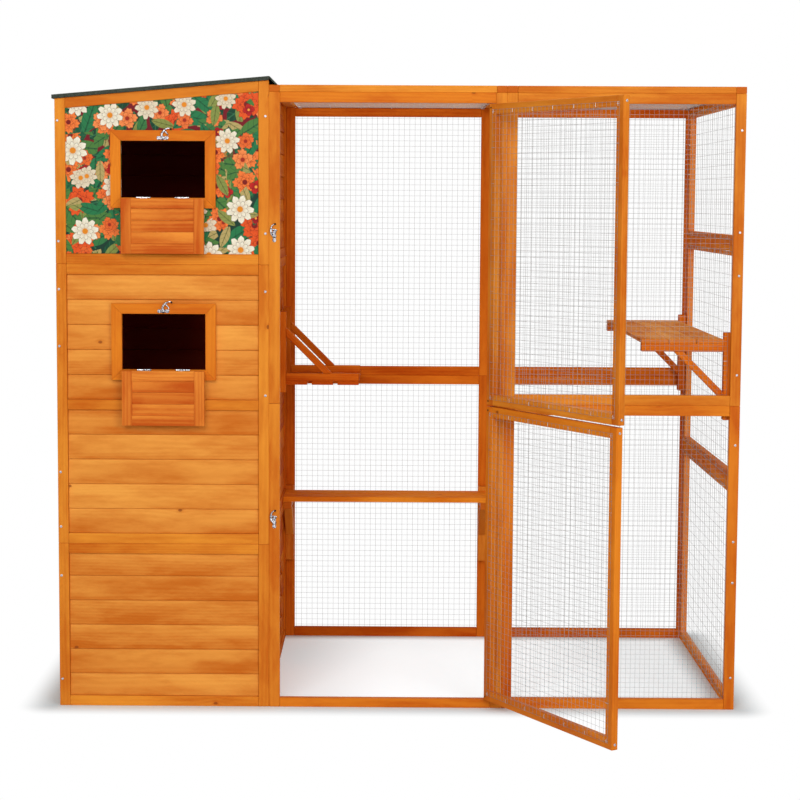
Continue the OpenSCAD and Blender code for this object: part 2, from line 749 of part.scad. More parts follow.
module hook_plates() {
  color(chrome) {
    for (z = [latch_upper_z, latch_lower_z]) on_front(latch_x, z) rotate([0, 90, 0]) latch_plate();
    for (z = [upper_latch_z, middle_latch_z])
      on_front(window_x, z) translate([0, -trim_out, 0]) latch_plate();
  }
}
module window_hook(z) {
  color(chrome) on_front(window_x, z) translate([0, -trim_out, 0]) rotate([0, hook_lean, 0]) latch_hook();
}
module door_hook(z) { color(chrome) on_front(latch_x, z) latch_hook(); }
module upper_window_hook() { window_hook(upper_latch_z); }
module middle_window_hook() { window_hook(middle_latch_z); }
module upper_door_hook() { door_hook(latch_upper_z); }
module lower_door_hook() { door_hook(latch_lower_z); }

// Screw heads in the stiles, placed from the ends of each panel
module frame_screws() {
  left = member_w * 0.27;
  right = tower_w - member_w / 3;
  left_z = concat([for (k = [0.165, 0.802]) k * lower_h],
                  [for (k = [0.06, 0.257, 0.708, 0.91]) lower_h + k * middle_h],
                  [for (k = [0.124, 0.777]) upper_z + k * upper_h]);
  right_z = concat([for (k = [0.535, 0.905]) lower_h + k * middle_h], [for (k = [0.17, 0.805]) upper_z + k * upper_h]);
  bay_z = concat([for (k = [0.106, 0.421, 0.556, 0.872]) k * mid_z],
                 [for (k = [0.1, 0.42, 0.559, 0.884]) mid_z + k * (wall_h - mid_z)]);
  color(chrome) {
    for (z = left_z) on_front(left, z) screw_head();
    for (z = right_z) on_front(right, z) screw_head();
    for (z = bay_z) on_front(total_w - member_w * 0.4, z) screw_head();
  }
}

lower_front_frame();
lower_front_boards();
lower_left_panel();
lower_right_panel();
lower_back_panel();
middle_front_frame();
middle_front_boards();
middle_left_panel();
middle_right_panel();
middle_back_panel();
upper_front_frame();
print_board();
upper_left_panel();
upper_right_panel();
upper_back_panel();
tower_floors();
roof_deck();
roof_felt();
window_trims();
upper_flap();
middle_flap();
upper_flap_hardware();
middle_flap_hardware();
latch_post();
hinge_post();
doorway_rails();
front_upper_frame();
front_lower_frame();
front_mesh();
back_left_upper_frame();
back_left_lower_frame();
back_right_upper_frame();
back_right_lower_frame();
back_mesh();
side_top_frame();
side_middle_frame();
side_bottom_frame();
side_mesh();
roof_left_frame();
roof_right_frame();
roof_mesh();
hanging_shelf_planks();
hanging_shelf_brackets();
back_shelf_planks();
back_shelf_brackets();
side_shelf_planks();
side_shelf_brackets();
upper_door_frame();
upper_door_mesh();
lower_door_frame();
lower_door_mesh();
upper_door_hardware();
lower_door_hardware();
hinge_leaves();
hook_plates();
upper_window_hook();
middle_window_hook();
upper_door_hook();
lower_door_hook();
frame_screws();
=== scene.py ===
# %% [markdown]
# A cat enclosure of stained pine and welded wire.
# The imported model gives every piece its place. This script looks at each solid in
# it, works out which way the wood runs, eases the edges, and gives the surfaces
# their finish. Wire, staples, screw heads and latches are built at their real fineness.

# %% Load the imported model
import json
import math
import random

import bmesh
import bpy
from mathutils import Matrix, Vector


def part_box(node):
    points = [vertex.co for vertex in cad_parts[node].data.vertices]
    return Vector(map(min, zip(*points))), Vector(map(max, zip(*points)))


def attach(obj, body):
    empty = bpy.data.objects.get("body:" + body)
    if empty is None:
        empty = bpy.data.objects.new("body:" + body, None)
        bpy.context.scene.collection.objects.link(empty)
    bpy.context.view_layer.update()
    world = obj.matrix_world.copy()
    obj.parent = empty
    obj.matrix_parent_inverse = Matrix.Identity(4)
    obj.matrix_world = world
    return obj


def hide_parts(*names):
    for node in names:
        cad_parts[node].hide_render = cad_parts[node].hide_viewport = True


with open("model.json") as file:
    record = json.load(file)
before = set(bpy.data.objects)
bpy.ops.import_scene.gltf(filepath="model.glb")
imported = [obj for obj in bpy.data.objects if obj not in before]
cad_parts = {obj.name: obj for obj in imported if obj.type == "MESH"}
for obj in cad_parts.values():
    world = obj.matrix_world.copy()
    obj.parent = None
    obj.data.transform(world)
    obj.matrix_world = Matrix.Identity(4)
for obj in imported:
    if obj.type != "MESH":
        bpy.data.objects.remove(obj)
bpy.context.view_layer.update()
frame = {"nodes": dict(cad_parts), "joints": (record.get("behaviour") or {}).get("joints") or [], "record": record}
nodes = frame["nodes"]
record = frame["record"]
body_with = {n: b for b, names in record["behaviour"]["bodies"].items() for n in names}
slot_of = {s["node"]: s["material_slot"] for s in record["subparts"]}
corner = Vector(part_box("lower_front_frame")[0])
print("tower's front left foot", [round(v, 4) for v in corner])

# %% [markdown]
# The camera stands where the photographer stood: nearly square on, a metre and a half
# above the ground, with a long lens. A fitted camera is a place, three small turns and
# a focal length, so its axes are written as three vectors.

# %% Camera
FOCAL_PIXELS = 1935.86
PICTURE_PIXELS = 800
CENTRE_PIXEL = (376.67, 376.0)
SENSOR_WIDTH = 36.0
EYE_FROM_CORNER = (0.9657, -5.6039, 1.4896)
pitch_down, yaw_right, roll = 0.0903, -0.00627, 0.00508
eye = corner + Vector(EYE_FROM_CORNER)
forward = Vector((math.sin(yaw_right) * math.cos(pitch_down),
                  math.cos(yaw_right) * math.cos(pitch_down), -math.sin(pitch_down)))
level = Vector((math.cos(yaw_right), -math.sin(yaw_right), 0))
upright = level.cross(forward)
right = level * math.cos(roll) + upright * math.sin(roll)
up = upright * math.cos(roll) - level * math.sin(roll)
lens = bpy.data.cameras.new("camera")
lens.sensor_width = SENSOR_WIDTH
lens.lens = FOCAL_PIXELS * SENSOR_WIDTH / PICTURE_PIXELS
lens.shift_x = (PICTURE_PIXELS / 2 - CENTRE_PIXEL[0]) / PICTURE_PIXELS
lens.shift_y = (CENTRE_PIXEL[1] - PICTURE_PIXELS / 2) / PICTURE_PIXELS
camera = bpy.data.objects.new("camera", lens)
turn = Matrix((right, up, -forward)).transposed().to_4x4()
camera.matrix_world = Matrix.Translation(eye) @ turn
bpy.context.scene.collection.objects.link(camera)
bpy.context.scene.camera = camera
bpy.context.scene.view_settings.view_transform = "Standard"
print("lens", round(lens.lens, 1), "mm")

# %% [markdown]
# A shader tree is arithmetic. Rather than placing each node by hand, this small class
# lets the materials below be written as sums: adding two values adds a Math node.

# %% A small algebra for shader trees
class Value:
    """A number at each point of a surface."""

    def __init__(self, tree, socket):
        self.tree, self.socket = tree, socket

    def math(self, operation, *others):
        node = self.tree.nodes.new("ShaderNodeMath")
        node.operation = operation
        for entry, item in zip(node.inputs, (self,) + others):
            plug(self.tree, item, entry)
        return Value(self.tree, node.outputs[0])

    def __add__(self, other):
        return self.math("ADD", other)

    def __sub__(self, other):
        return self.math("SUBTRACT", other)

    def __mul__(self, other):
        return self.math("MULTIPLY", other)

    def rise(self, low, high):
        """0 below low, 1 above high, smooth between; turned over if low is the larger."""
        node = self.tree.nodes.new("ShaderNodeMapRange")
        node.interpolation_type = "SMOOTHSTEP"
        plug(self.tree, self, node.inputs["Value"])
        node.inputs["From Min"].default_value = min(low, high)
        node.inputs["From Max"].default_value = max(low, high)
        node.inputs["To Min"].default_value = 0.0 if low < high else 1.0
        node.inputs["To Max"].default_value = 1.0 if low < high else 0.0
        return Value(self.tree, node.outputs["Result"])


def plug(tree, item, entry):
    if isinstance(item, Value):
        tree.links.new(item.socket, entry)
    elif isinstance(item, bpy.types.NodeSocket):
        tree.links.new(item, entry)
    else:
        entry.default_value = item


def vector_math(tree, operation, first, second, output="Vector"):
    node = tree.nodes.new("ShaderNodeVectorMath")
    node.operation = operation
    plug(tree, first, node.inputs[0])
    plug(tree, second, node.inputs[1])
    return node.outputs[output]


def parts_of(tree, vector):
    node = tree.nodes.new("ShaderNodeSeparateXYZ")
    tree.links.new(vector, node.inputs[0])
    return [Value(tree, out) for out in node.outputs]


def mix(tree, amount, first, second):
    node = tree.nodes.new("ShaderNodeMix")
    node.data_type = "RGBA"
    plug(tree, amount, node.inputs["Factor"])
    plug(tree, first, node.inputs[6])
    plug(tree, second, node.inputs[7])
    return node.outputs[2]


def srgb(red, green, blue):
    """A colour as read off a screen, 0 to 255, in the linear numbers that Blender wants."""
    def linear(c):
        c /= 255
        return c / 12.92 if c <= 0.04045 else ((c + 0.055) / 1.055) ** 2.4
    return (linear(red), linear(green), linear(blue), 1.0)


print("shader algebra ready")

# %% [markdown]
# Wood, zinc and felt all begin with the same few things: noise stretched along one axis,
# points strewn over a surface, a value stored on the mesh, and a relief that is too fine
# to model. Each is wrapped once here, so a finish further down reads as a recipe.

# %% Textures and surfaces
def noise(tree, where, stretch, detail=2.0, roughness=0.5):
    """Noise on a place stretched by three factors, in cycles per metre."""
    node = tree.nodes.new("ShaderNodeTexNoise")
    node.inputs["Scale"].default_value = 1.0
    node.inputs["Detail"].default_value = detail
    node.inputs["Roughness"].default_value = roughness
    tree.links.new(vector_math(tree, "MULTIPLY", where, stretch), node.inputs["Vector"])
    return Value(tree, node.outputs["Fac"])


def cells(tree, where, scale, scatter=1.0):
    """Scattered points: the way from the nearest one, and its random colour."""
    node = tree.nodes.new("ShaderNodeTexVoronoi")
    node.inputs["Scale"].default_value = 1.0
    node.inputs["Randomness"].default_value = scatter
    scaled = vector_math(tree, "MULTIPLY", where, scale)
    tree.links.new(scaled, node.inputs["Vector"])
    away = vector_math(tree, "SUBTRACT", scaled, node.outputs["Position"])
    return away, node.outputs["Color"]


def attribute(tree, name):
    node = tree.nodes.new("ShaderNodeAttribute")
    node.attribute_name = name
    return node.outputs["Vector"], Value(tree, node.outputs["Fac"])


def new_material(name, roughness, metallic=0.0, specular=0.5):
    material = bpy.data.materials.new(name)
    material.use_nodes = True
    tree = material.node_tree
    surface = tree.nodes["Principled BSDF"]
    surface.inputs["Roughness"].default_value = roughness
    surface.inputs["Metallic"].default_value = metallic
    surface.inputs["Specular IOR Level"].default_value = specular
    return material, tree, surface


def bump(tree, surface, height, depth, strength=1.0):
    node = tree.nodes.new("ShaderNodeBump")
    node.inputs["Distance"].default_value = depth
    node.inputs["Strength"].default_value = strength
    plug(tree, height, node.inputs["Height"])
    tree.links.new(node.outputs["Normal"], surface.inputs["Normal"])


print("textures and surfaces ready")

# %% [markdown]
# The photograph's backdrop is plain white with a soft shadow under the object. The
# world is white to the camera and in reflections, and a dimmer grey as a light. One large
# soft lamp stands to the left of the camera and above it, so the tower shades the back
# of the run, a weaker one lifts the right, and a faint one overhead lights the shelves.

# %% Lamps and world
DAYLIGHT = 0.34
WARM_GREY = (1.0, 0.985, 0.97, 1)


def lamp(name, place, aim, size, power):
    data = bpy.data.lights.new(name, "AREA")
    data.size, data.energy = size, power
    item = bpy.data.objects.new(name, data)
    item.location = place
    item.rotation_euler = (Vector(aim) - Vector(place)).to_track_quat("-Z", "Y").to_euler()
    bpy.context.scene.collection.objects.link(item)


def looking(tree):
    """1 where the camera or a reflection looks, 0 where light is gathered."""
    paths = tree.nodes.new("ShaderNodeLightPath")
    by_camera = Value(tree, paths.outputs["Is Camera Ray"])
    return by_camera.math("MAXIMUM", Value(tree, paths.outputs["Is Glossy Ray"]))


lamp("key lamp", (-1.1, -5.6, 3.7), (0.0, 0.1, 0.9), 3.0, 148)
lamp("fill lamp", (3.0, -6.0, 2.4), (0.2, 0.1, 0.9), 3.0, 129)
lamp("overhead lamp", (0.4, 0.2, 4.6), (0.4, 0.2, 0.0), 2.4, 24)
world = bpy.data.worlds.new("studio")
bpy.context.scene.world = world
world.use_nodes = True
sky = world.node_tree
for node in list(sky.nodes):
    sky.nodes.remove(node)
dim = sky.nodes.new("ShaderNodeBackground")
dim.inputs["Color"].default_value = WARM_GREY
dim.inputs["Strength"].default_value = DAYLIGHT
white = sky.nodes.new("ShaderNodeBackground")
white.inputs["Strength"].default_value = 1.0
white.inputs["Color"].default_value = (1, 1, 1, 1)
choose = sky.nodes.new("ShaderNodeMixShader")
plug(sky, looking(sky), choose.inputs[0])
sky.links.new(dim.outputs[0], choose.inputs[1])
sky.links.new(white.outputs[0], choose.inputs[2])
out = sky.nodes.new("ShaderNodeOutputWorld")
sky.links.new(choose.outputs[0], out.inputs[0])
print("three lamps and a white world")

# %% [markdown]
# A studio floor takes the object's shadow and then fades into the backdrop. So near the
# footprint this floor is a plain pale surface, and a hand's width further out it turns
# into the backdrop's white. Inside the run it also glows a little to the camera and in
# reflections, as painted light, and glows less near the tower, the right wall and the rails,
# as painted shade.

# %% Floor
FLOOR_TINT = (0.82, 0.93, 0.97, 1)
FOOTPRINT_MIDDLE = 0.27
FOOTPRINT_HALF = (1.0, 0.48)
RAILS_HALF = (0.965, 0.455)
SHADOW_REACH = 0.12
floor_material, tree, surface = new_material("studio floor", 0.9, specular=0.0)
looked_at = looking(tree)
ground_x, ground_y, _ = parts_of(tree, tree.nodes.new("ShaderNodeTexCoord").outputs["Object"])
off_x = ground_x.math("ABSOLUTE")
off_y = (ground_y - FOOTPRINT_MIDDLE).math("ABSOLUTE")
outside_x = (off_x - FOOTPRINT_HALF[0]).math("MAXIMUM", 0.0)
outside_y = (off_y - FOOTPRINT_HALF[1]).math("MAXIMUM", 0.0)
apart = ((outside_x * outside_x) + (outside_y * outside_y)).math("SQRT")
backdrop = looked_at * apart.rise(0.0, SHADOW_REACH)
# Painted light across the run, weaker towards the tower's wall and the right wall as painted shade.
painted_light_across_run = ground_x.rise(-0.40, 0.02) * ((ground_x.rise(0.35, 0.85) * -0.4) + 1.0)
to_rails = ((off_x * -1.0) + RAILS_HALF[0]).math("MINIMUM", (off_y * -1.0) + RAILS_HALF[1])
# Painted light inside the rails, fading close to them as a painted contact shadow.
painted_floor_light = looked_at * ((painted_light_across_run * 0.22) + 0.26) * to_rails.rise(-0.01, 0.07)
glow = painted_floor_light + (backdrop * ((painted_floor_light * -1.0) + 1.0))
plug(tree, mix(tree, backdrop, FLOOR_TINT, (0, 0, 0, 1)), surface.inputs["Base Color"])
plug(tree, glow, surface.inputs["Emission Strength"])
surface.inputs["Emission Color"].default_value = (1, 1, 1, 1)
floor_data = bpy.data.meshes.new("floor")
far_corners = [(-30, -12, 0), (30, -12, 0), (30, 40, 0), (-30, 40, 0)]
floor_data.from_pydata(far_corners, [], [(0, 1, 2, 3)])
floor_data.materials.append(floor_material)
floor = bpy.data.objects.new("floor", floor_data)
bpy.context.scene.collection.objects.link(floor)
print("floor")

# %% [markdown]
# Pine is a bundle of cones round a pith. A board sawn from it shows the cones as rings on
# its end and as long streaks and arches on its face. If each board knows its own length,
# width and thickness, one formula gives all of that: rings are a sine of the distance
# from the pith, drifting slowly along the board. Knots are points scattered over it
# that the rings swerve round. The stain is orange, darker where the wood drinks more, and
# its broad blotches are partly uneven stain and partly painted sheen. It is darkest along a
# sanded edge, partly stain and partly painted shade of the lines between boards. A face that
# looks into a closed room is painted deep red, as painted shade of the dark inside.

# %% Stained pine
# Stain and painted shade: the deep colour of eased edges, which also draws the shadow lines between boards.
EDGE_STAIN_AND_SHADE = srgb(116, 38, 5)
# Painted shade: the deep red of faces that look into the tower's closed rooms.
ROOM_SHADE = srgb(146, 4, 6)
RING_RADIANS_PER_METRE = 900.0


def stained_pine(name, pale, deep, knot=srgb(128, 56, 18), streaks=0.6, gloss=0.5, shine=0.08):
    material, tree, surface = new_material(name, gloss, specular=shine)
    place, _ = attribute(tree, "grain")
    _, tone = attribute(tree, "tone")
    end_grain, inside, stained_and_shaded_edge = parts_of(tree, attribute(tree, "face_marks")[0])
    along, across, through = parts_of(tree, place)
    flow = noise(tree, place, (1.1, 11, 11), 2.0)
    # The two broad blotch patterns are partly uneven stain and partly painted sheen.
    blotch_and_sheen = noise(tree, place, (5, 20, 20), 4.0, 0.62)
    broad_blotch_and_sheen = noise(tree, vector_math(tree, "ADD", place, (5.3, 0.7, 0.2)), (1.7, 6, 6), 2.0)
    fibre = noise(tree, place, (14, 700, 700), 2.0, 0.65)
    away, chance = cells(tree, place, (3.0, 13, 0))
    gap = vector_math(tree, "MULTIPLY", away, (1 / 4.4, 1 / 13, 0))
    from_knot = Value(tree, vector_math(tree, "LENGTH", gap, (0, 0, 0), "Value"))
    luck = parts_of(tree, chance)[0]
    knotty = luck.rise(0.86, 0.88)
    pith = ((across * across) + (through * through)).math("SQRT")
    swerve = (from_knot * -55.0).math("EXPONENT") * knotty
    turns = (pith * RING_RADIANS_PER_METRE) + (flow * 26.0) + (swerve * 9.0)
    rings = turns.math("SINE").rise(-1.0, 1.2)
    eye_of_knot = from_knot.rise(0.0050, 0.0030) * knotty
    rim = from_knot.rise(0.012, 0.004) * knotty
    depth = (rings * (0.30 * streaks)) + (fibre * (0.30 * streaks))
    depth = depth + (blotch_and_sheen.rise(0.36, 0.68) * 0.42) + (broad_blotch_and_sheen.rise(0.36, 0.66) * 0.34)
    depth = depth + (rim * 0.25) + ((tone - 0.45) * 0.30) + (end_grain * 0.7)
    wood = mix(tree, depth.math("MINIMUM", 1.25).math("MAXIMUM", -0.15), pale, deep)
    wood = mix(tree, eye_of_knot * 0.7, wood, knot)
    # Stain and painted shade: eased edges darken, which also paints the shadow lines between boards.
    wood = mix(tree, stained_and_shaded_edge * 0.85, wood, EDGE_STAIN_AND_SHADE)
    # Painted shade: faces that look into a closed room turn deep red.
    wood = mix(tree, inside * 0.9, wood, ROOM_SHADE)
    tree.links.new(wood, surface.inputs["Base Color"])
    bump(tree, surface, (rings * 0.3) + (fibre * 0.6), 0.00035, 0.8)
    return material


print("pine recipe ready")

# %% [markdown]
# One dip of stain gives many shades: lap boards drink it evenly, frames more at their ends.
# Wood in the shade of the run gets a deeper, redder copy as painted shade, and a few parts
# a paler copy as painted light. Each shade is one call of the recipe above, with its palest
# and its deepest colour.

# %% Wood finishes
dry = {"gloss": 0.65, "shine": 0.02}
recipes = {
    "timber": ("stained pine frame", (236, 148, 46), (198, 96, 16), {"streaks": 0.45}),
    "cladding": ("stained lap board", (240, 160, 68), (200, 102, 22), {"streaks": 0.35}),
    "plywood": ("floor board", (196, 140, 84), (160, 100, 52), {"gloss": 0.7}),
    # Painted shade: a deeper, redder copy for wood in the shade of the run.
    "inner": ("deep stained pine", (232, 124, 30), (188, 74, 10), dry),
    "flap": ("stained flap board", (236, 142, 52), (192, 82, 16), {"streaks": 0.85}),
    "ruddy": ("ruddy stained pine", (232, 134, 32), (194, 84, 8), {"streaks": 0.45}),
    # Painted light: a paler copy for the side frames and the back shelf.
    "lit": ("light stained pine", (252, 154, 44), (224, 108, 16), dry),
    # A paler stain for the side shelf's planks.
    "shelf": ("worn shelf board", (252, 176, 92), (214, 116, 40), {"gloss": 0.7, "shine": 0.02}),
}
finishes = {key: stained_pine(name, srgb(*pale), srgb(*deep), **rest)
            for key, (name, pale, deep, rest) in recipes.items()}
print("wood finishes", list(finishes))

# %% [markdown]
# Each timber node in the model holds several plain solids, such as the four members of a
# frame. A tree of edges leads from one corner to all others of the same board, so walking
# along edges finds the boards. The longest edge then tells which way the wood was sawn,
# and the largest face which way it lies.

# %% Solids and their axes
def copy_of(name):
    """The node's faces, welded and with each flat side in one piece."""
    shape = bmesh.new()
    shape.from_mesh(nodes[name].data)
    bmesh.ops.remove_doubles(shape, verts=shape.verts, dist=1e-6)
    bmesh.ops.dissolve_limit(shape, angle_limit=math.radians(1), verts=shape.verts,
                             edges=shape.edges)
    return shape


def solids_in(shape):
    """Lists of vertices, one for each solid."""
    shape.verts.index_update()
    seen_verts, groups = set(), []
    for start in shape.verts:
        if start in seen_verts:
            continue
        seen_verts.add(start)
        group, stack = [], [start]
        while stack:
            vert = stack.pop()
            group.append(vert)
            for edge in vert.link_edges:
                other = edge.other_vert(vert)
                if other not in seen_verts:
                    seen_verts.add(other)
                    stack.append(other)
        groups.append(sorted(group, key=lambda v: v.index))
    return groups


def board_axes(group):
    """Which way a solid's length, width and thickness run."""
    longest, along = 0.0, Vector((1, 0, 0))
    largest, flat = 0.0, Vector((0, 0, 1))
    for vert in group:
        for edge in vert.link_edges:
            length = round(edge.calc_length(), 5)
            if length > longest:
                longest, along = length, (edge.verts[1].co - edge.verts[0].co).normalized()
        for face in vert.link_faces:
            area = round(face.calc_area(), 7)
            if area > largest:
                largest, flat = area, face.normal.copy()
    if along.x + along.y + along.z < 0:
        along.negate()
    flat = (flat - along * flat.dot(along)).normalized()
    return along, flat.cross(along), flat


def mesh_object(name, shape, material):
    data = bpy.data.meshes.new(name)
    shape.to_mesh(data)
    shape.free()
    data.materials.append(material)
    item = bpy.data.objects.new(name, data)
    bpy.context.scene.collection.objects.link(item)
    return item


print("solids can be read")

# %% [markdown]
# Light would shine through the open joints of the tower's back, where real lap boards
# overlap. A small rib along the top of each board, let into the one above, closes them and
# can't be seen from outside.

# %% Ribs in the lap joints
TONGUE_HALF = 0.002
TONGUE_RISE = 0.003
RIBBED_FROM = {"length": 0.3, "height": 0.032}
BOX_FACES = ((0, 1, 2, 3), (7, 6, 5, 4), (0, 4, 5, 1), (1, 5, 6, 2), (2, 6, 7, 3), (3, 7, 4, 0))


def add_tongues(shape):
    """A rib on top of each lap board, let into the board above, so no light comes through."""
    boards = []
    for group in solids_in(shape):
        low = Vector([min(v.co[k] for v in group) for k in range(3)])
        high = Vector([max(v.co[k] for v in group) for k in range(3)])
        long_board = high.x - low.x > RIBBED_FROM["length"]
        tall_board = high.z - low.z > RIBBED_FROM["height"]
        level = sum(abs(v.co.z - high.z) < 1e-5 for v in group) == 4
        if long_board and tall_board and level and len(group) == 8:
            boards.append((low, high))
    for low, high in boards:
        if any(abs(other.z - high.z) < 0.001 for other, _ in boards):
            middle = (low.y + high.y) / 2
            section = ((-TONGUE_HALF, -TONGUE_HALF), (TONGUE_HALF, -TONGUE_HALF),
                       (TONGUE_HALF, TONGUE_RISE), (-TONGUE_HALF, TONGUE_RISE))
            made = [shape.verts.new((x, middle + y, high.z + z))
                    for x in (low.x + TONGUE_HALF, high.x - TONGUE_HALF) for y, z in section]
            for quad in BOX_FACES:
                shape.faces.new([made[k] for k in quad])
    bmesh.ops.recalc_face_normals(shape, faces=shape.faces)


print("ribs ready")

# %% [markdown]
# A joiner's saw leaves sharp arrises that a pass of sandpaper takes off, and the stain
# gathers there in a thin deep line; the line is also painted shade for the shadows between
# boards. So each solid is copied, its edges are eased by a small bevel, and it gets two
# attributes: its own length, width and thickness as a place for the grain, and a random
# tone, because no two boards take the stain alike. A lap board is also painted darker
# towards its lower edge. Marks on the faces tell end grain, eased edges and the sides that
# look into a closed room, which get painted shade, from the rest.

# %% Dressing timber
EASE = 0.0017
DARKER_TO_LOWER_EDGE = 1.4
LAP_BOARD_HEIGHT = 0.1
PITH_SPREAD = 0.05
PITH_DEPTH = (0.02, 0.07)
INNER_SHARE = 0.4
SHARP_ANGLE = math.radians(25)
floor_low, floor_high = (Vector(v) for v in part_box("tower_floors"))
tower_axis = (floor_low + floor_high) / 2


def dress(name, material, ease=EASE):
    """Replaces a timber node by its eased solids and says how many boards it has."""
    shape = copy_of(name)
    if name.endswith("_back_panel"):
        add_tongues(shape)
    sharp = [e for e in shape.edges
             if len(e.link_faces) == 2 and e.calc_face_angle(0) > SHARP_ANGLE]
    eased = bmesh.ops.bevel(shape, geom=sharp, offset=ease, segments=2, profile=0.5,
                            affect="EDGES", clamp_overlap=True)
    arrises = set(eased["faces"])
    grain = shape.verts.layers.float_vector.new("grain")
    tone = shape.verts.layers.float.new("tone")
    marks = shape.faces.layers.float_vector.new("face_marks")
    of_tower = name.startswith(("lower_", "middle_", "upper_"))
    room = of_tower and ("_panel" in name or "_front" in name)
    low, high = (Vector(v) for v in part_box(name))
    thin = 0 if high.x - low.x < high.y - low.y else 1
    outward = 1 if (low + high)[thin] / 2 > tower_axis[thin] else -1
    thickness = high[thin] - low[thin]
    inner_plane = (low if outward > 0 else high)[thin]
    groups = solids_in(shape)
    for number, group in enumerate(groups):
        chance = random.Random(f"{name} {number}")
        along, across, out_of_face = board_axes(group)
        shift = Vector((chance.uniform(0, 9), chance.uniform(-PITH_SPREAD, PITH_SPREAD),
                        chance.uniform(*PITH_DEPTH)))
        middle = sum((v.co for v in group), Vector()) / len(group)
        shade = chance.random()
        foot, top = min(v.co.z for v in group), max(v.co.z for v in group)
        lap_board = slot_of[name] == "cladding" and top - foot < LAP_BOARD_HEIGHT
        darker_downward = DARKER_TO_LOWER_EDGE if lap_board else 0.0
        for vert in group:
            own = vert.co - middle
            local = Vector((own.dot(along), own.dot(across), own.dot(out_of_face)))
            vert[grain] = local + shift
            # A lap board's tone is made darker towards its lower edge.
            vert[tone] = shade + darker_downward * (0.5 - (vert.co.z - foot) / (top - foot))
            for face in vert.link_faces:
                from_inside = (face.calc_center_median()[thin] - inner_plane) * outward
                near_room = from_inside < thickness * INNER_SHARE
                # Faces marked here get painted shade in the wood's colour.
                in_room_shade = room and near_room and face.normal[thin] * outward < 0.3
                end_face = abs(face.normal.dot(along)) > 0.9
                # The third mark, eased edges, gets stain and painted shade.
                face[marks] = Vector((end_face, in_room_shade, face in arrises))
    item = mesh_object(name + "_wood", shape, material)
    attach(item, body_with[name])
    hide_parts(name)
    return len(groups)


print("timber can be dressed")

# %% [markdown]
# Now every timber node is dressed. Its place decides the shade: parts in the shade of the
# run get a deeper copy of the stain as painted shade, and a few parts a paler copy as
# painted light. The kind of piece decides the edge: lap boards are worn round, window trims
# and flaps are finer work with sharper edges, and the frames lie between.

# %% Timber from the imported solids
BOARD_EASE = 0.0022
TRIM_EASE = 0.0005
by_name = {"window_trims": "ruddy", "upper_flap": "flap", "middle_flap": "flap",
           "front_lower_frame": "ruddy", "upper_door_frame": "timber",
           "side_shelf_planks": "shelf", "back_shelf_planks": "lit",
           "back_shelf_brackets": "timber"}


def finish_of(name):
    """Parts of the run that stand in shade get the deeper copy as painted shade, the side frames and the back
    shelf the paler one as painted light, the door frames redder.
    """
    if name in by_name:
        return by_name[name]
    if "door" in name:
        return "ruddy"
    if name.startswith("side_") and name.endswith("_frame"):
        return "lit"
    # Shaded pieces take the inner finish, which is painted shade.
    shaded = name.startswith(("back_", "hanging_", "side_")) or name.endswith("right_panel")
    return "inner" if shaded or "bracket" in name else slot_of[name]


boards = 0
for node_name, slot in slot_of.items():
    if slot in ("timber", "cladding", "plywood"):
        fine = node_name in ("window_trims", "upper_flap", "middle_flap")
        ease = TRIM_EASE if fine else BOARD_EASE if slot == "cladding" else EASE
        boards += dress(node_name, finishes[finish_of(node_name)], ease)
print("boards dressed", boards)

# %% [markdown]
# The upper front carries a printed board. Its design here is a plain scatter of blossoms
# and leaves. A motif is drawn by arithmetic: strewn points each get a small field of their
# own, turned by a random angle, and in it a petal is where the distance from the point is
# less than a wave of the angle, and a leaf is where the width is less than a parabola.

# %% Blossoms and leaves
def turned(tree, away, chance):
    """The way from a point, as two numbers turned by the point's own random angle."""
    x, y, _ = parts_of(tree, away)
    angle = parts_of(tree, chance)[1] * 6.283
    c, s = angle.math("COSINE"), angle.math("SINE")
    return (x * c) + (y * s), (y * c) - (x * s)


def blossoms(tree, under, place, pitch, size, petals, colours, centre, rarity, rings=(1.0,),
             ruffle=0.0):
    """Flowers of one or more rings of petals, each ring with a dark outline."""
    away, chance = cells(tree, place, (1 / pitch, 1 / pitch, 0), 0.55)
    x, y = turned(tree, away, chance)
    red, _, blue = parts_of(tree, chance)
    reach = ((x * x) + (y * y)).math("SQRT") * pitch * (blue * 0.36 + 0.86)
    angle = y.math("ARCTAN2", x)
    kept = red.rise(rarity, rarity + 0.01)
    for number, share in enumerate(rings):
        part = (angle + (1.9 * number)) * (petals / 2)
        lobe = part.math("COSINE").math("ABSOLUTE")
        wave = (angle * (petals * 2.0 + 7.0)).math("SINE") * ruffle
        edge = (lobe * 0.32 + 0.72 + wave) * (size * share)
        inside = (reach - edge).rise(0.0003, -0.0003) * kept
        fold = (part * 6.0).math("SINE").rise(0.5, 1.0)
        vein = (lobe.rise(0.30, 0.05) * 0.5) + (fold * 0.16)
        shade = (reach * (1 / (size * share))).rise(1.0, 0.2) * 0.5
        petal = mix(tree, blue.rise(0.3, 0.7), colours[0], colours[1])
        petal = mix(tree, (vein + shade).math("MINIMUM", 1.0), petal, colours[2])
        petal = mix(tree, (reach - edge).rise(-0.0015, -0.0008) * 0.8, petal, colours[3])
        under = mix(tree, inside, under, petal)
    heart = reach.rise(size * 0.24, size * 0.19) * kept
    return mix(tree, heart, under, centre)


